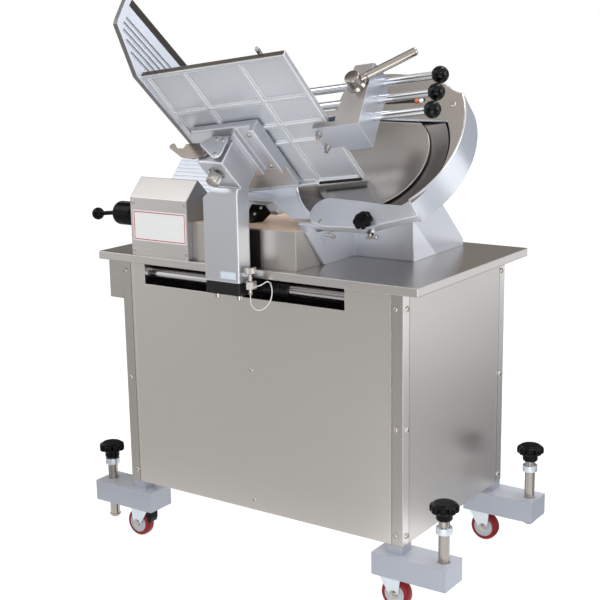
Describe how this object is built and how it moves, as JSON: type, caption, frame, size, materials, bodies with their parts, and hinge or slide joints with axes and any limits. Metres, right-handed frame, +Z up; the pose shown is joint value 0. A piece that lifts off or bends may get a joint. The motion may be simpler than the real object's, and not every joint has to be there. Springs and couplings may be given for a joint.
{
  "type": "meat slicer",
  "caption": "Floor standing meat slicer: a leaning round blade over a steel cabinet on casters and jacks, with a sliding tray and a clamped pusher.",
  "frame": {"origin": "middle of the footprint on the floor, under the cabinet's width", "axes": "+X to the operator's right along the carriage travel, +Y to the back, +Z up"},
  "size_m": [0.919, 0.7038, 1.1954],
  "materials": {
    "stainless": "fine horizontal brush",
    "panel": "fine horizontal brush",
    "casting_paint": "silver grey satin paint",
    "screw_steel": "bright turned steel",
    "black_grip": "black moulding",
    "zinc": "zinc plated",
    "wheel_red": "red tread on a grey hub",
    "base_cast": "satin casting",
    "housing_cast": "polished casting",
    "blade_steel": "ground steel",
    "cover_steel": "turned satin",
    "shaft_steel": "ground and plated",
    "motor_grey": "grey paint",
    "belt_rubber": "ribbed rubber",
    "gauge_alloy": "grooved satin",
    "control_steel": "bead blasted sheet",
    "end_grey": "dark grey",
    "guard_alloy": "satin",
    "cover_sheet": "brushed sheet",
    "black_foot": "black moulding",
    "arm_alloy": "anodised satin",
    "tray_alloy": "brushed casting",
    "latch_steel": "plain steel",
    "bright_steel": "plated",
    "pusher_alloy": "machined satin",
    "skewer_steel": "polished rod with a black ball",
    "cord_white": "white coated wire"
  },
  "bodies": {
    "stand": {"cabinet_frame": "stainless", "front_panel": "panel", "rear_panel": "panel", "left_panel": "panel", "right_panel": "panel", "worktop": "stainless", "electrical_box": "stainless", "outrigger_fl": "casting_paint", "outrigger_fr": "casting_paint", "outrigger_rl": "casting_paint", "outrigger_rr": "casting_paint", "slicer_base": "base_cast", "blade_housing": "housing_cast", "blade_motor": "motor_grey", "drive_belt": "belt_rubber", "control_housing": "control_steel", "control_end_plate": "end_grey", "blade_guard": "guard_alloy", "slot_cover": "cover_sheet", "guide_shaft": "shaft_steel", "guide_rail": "shaft_steel", "carriage_motor": "motor_grey"},
    "carriage": {"carriage_bush": "black_foot", "carriage_arm": "arm_alloy", "tray": "tray_alloy", "tray_bracket": "arm_alloy", "tray_wall": "tray_alloy", "lanyard": "cord_white"},
    "pusher": {"pusher_block": "pusher_alloy"},
    "clamp": {"clamp_lever": "bright_steel"},
    "skewer_a": {"skewer_1": "skewer_steel"},
    "skewer_b": {"skewer_2": "skewer_steel"},
    "skewer_c": {"skewer_3": "skewer_steel"},
    "latch": {"latch_lever": "latch_steel"},
    "tray_screw": {"tray_knob": "bright_steel"},
    "pin": {"lock_pin": "bright_steel"},
    "cutter": {"blade": "blade_steel", "blade_cover": "cover_steel", "blade_shaft": "shaft_steel"},
    "gauge": {"gauge_plate": "gauge_alloy", "gauge_carrier": "gauge_alloy"},
    "thickness": {"thickness_knob": "black_grip"},
    "guard_screw": {"guard_knob": "black_grip"},
    "crank": {"crank_disc": "motor_grey"},
    "jack_fl": {"jack_screw_fl": "screw_steel", "jack_knob_fl": "black_grip"},
    "caster_fl": {"caster_fork_fl": "zinc"},
    "wheel_fl": {"caster_wheel_fl": "wheel_red"},
    "jack_fr": {"jack_screw_fr": "screw_steel", "jack_knob_fr": "black_grip"},
    "caster_fr": {"caster_fork_fr": "zinc"},
    "wheel_fr": {"caster_wheel_fr": "wheel_red"},
    "jack_rl": {"jack_screw_rl": "screw_steel", "jack_knob_rl": "black_grip"},
    "caster_rl": {"caster_fork_rl": "zinc"},
    "wheel_rl": {"caster_wheel_rl": "wheel_red"},
    "jack_rr": {"jack_screw_rr": "screw_steel", "jack_knob_rr": "black_grip"},
    "caster_rr": {"caster_fork_rr": "zinc"},
    "wheel_rr": {"caster_wheel_rr": "wheel_red"}
  },
  "joints": [
    {"name": "carriage_slide", "type": "slide", "parent": "stand", "child": "carriage", "axis": [1, 0, 0], "range_m": [-0.21, 0.2]},
    {"name": "pusher_slide", "type": "slide", "parent": "carriage", "child": "pusher", "axis": [0, -0.7314, 0.682], "range_m": [-0.1, 0.15]},
    {"name": "clamp_turn", "type": "hinge", "parent": "pusher", "child": "clamp", "pos_m": [0.227, -0.07775, 1.02783], "axis": [0, -0.7314, 0.682], "range_deg": [-40, 60]},
    {"name": "skewer_slide_a", "type": "slide", "parent": "pusher", "child": "skewer_a", "axis": [0.9848, 0.1184, 0.127], "range_m": [-0.02, 0.2]},
    {"name": "skewer_slide_b", "type": "slide", "parent": "pusher", "child": "skewer_b", "axis": [0.9848, 0.1184, 0.127], "range_m": [-0.02, 0.2]},
    {"name": "skewer_slide_c", "type": "slide", "parent": "pusher", "child": "skewer_c", "axis": [0.9848, 0.1184, 0.127], "range_m": [-0.02, 0.2]},
    {"name": "latch_turn", "type": "hinge", "parent": "carriage", "child": "latch", "pos_m": [-0.032, -0.20245, 0.9029], "axis": [0, -0.7314, 0.682], "range_deg": [-8, 25]},
    {"name": "tray_screw_turn", "type": "hinge", "parent": "carriage", "child": "tray_screw", "pos_m": [-0.016, -0.20262, 0.847], "axis": [0, 0.682, 0.7314], "continuous": true},
    {"name": "pin_slide", "type": "slide", "parent": "carriage", "child": "pin", "axis": [0, 0, 1], "range_m": [0, 0.012], "stiffness_N_per_m": 300},
    {"name": "blade_spin", "type": "hinge", "parent": "stand", "child": "cutter", "pos_m": [0.187, 0.05509, 0.86237], "axis": [0, -0.7314, 0.682], "continuous": true},
    {"name": "gauge_slide", "type": "slide", "parent": "stand", "child": "gauge", "axis": [0, 0.7314, -0.682], "range_m": [0, 0.014]},
    {"name": "thickness_turn", "type": "hinge", "parent": "stand", "child": "thickness", "pos_m": [-0.35, -0.09815, 0.7445], "axis": [-1, 0, 0], "range_deg": [0, 270]},
    {"name": "guard_screw_turn", "type": "hinge", "parent": "stand", "child": "guard_screw", "pos_m": [0.245, -0.08031, 0.76849], "axis": [0, -0.7314, 0.682], "continuous": true},
    {"name": "crank_turn", "type": "hinge", "parent": "stand", "child": "crank", "pos_m": [-0.025, 0.10785, 0.2905], "axis": [0, 0, 1], "continuous": true},
    {"name": "jack_slide_fl", "type": "slide", "parent": "stand", "child": "jack_fl", "axis": [0, 0, 1], "range_m": [-0.025, 0.035]},
    {"name": "swivel_fl", "type": "hinge", "parent": "stand", "child": "caster_fl", "pos_m": [-0.3372, -0.09095, 0.0725], "axis": [0, 0, 1], "continuous": true},
    {"name": "roll_fl", "type": "hinge", "parent": "caster_fl", "child": "wheel_fl", "pos_m": [-0.3492, -0.09095, 0.0315], "axis": [0, 1, 0], "continuous": true},
    {"name": "jack_slide_fr", "type": "slide", "parent": "stand", "child": "jack_fr", "axis": [0, 0, 1], "range_m": [-0.055, 0.003]},
    {"name": "swivel_fr", "type": "hinge", "parent": "stand", "child": "caster_fr", "pos_m": [0.3132, -0.09095, 0.0725], "axis": [0, 0, 1], "continuous": true},
    {"name": "roll_fr", "type": "hinge", "parent": "caster_fr", "child": "wheel_fr", "pos_m": [0.3252, -0.09095, 0.0315], "axis": [0, 1, 0], "continuous": true},
    {"name": "jack_slide_rl", "type": "slide", "parent": "stand", "child": "jack_rl", "axis": [0, 0, 1], "range_m": [-0.055, 0.005]},
    {"name": "swivel_rl", "type": "hinge", "parent": "stand", "child": "caster_rl", "pos_m": [-0.3372, 0.30465, 0.0725], "axis": [0, 0, 1], "continuous": true},
    {"name": "roll_rl", "type": "hinge", "parent": "caster_rl", "child": "wheel_rl", "pos_m": [-0.3492, 0.30465, 0.0315], "axis": [0, 1, 0], "continuous": true},
    {"name": "jack_slide_rr", "type": "slide", "parent": "stand", "child": "jack_rr", "axis": [0, 0, 1], "range_m": [-0.055, 0.005]},
    {"name": "swivel_rr", "type": "hinge", "parent": "stand", "child": "caster_rr", "pos_m": [0.3132, 0.30465, 0.0725], "axis": [0, 0, 1], "continuous": true},
    {"name": "roll_rr", "type": "hinge", "parent": "caster_rr", "child": "wheel_rr", "pos_m": [0.3252, 0.30465, 0.0315], "axis": [0, 1, 0], "continuous": true}
  ],
  "couplings": [
    {"joint": "thickness_turn", "follows": "gauge_slide", "rad_per_m": 336.5}
  ]
}
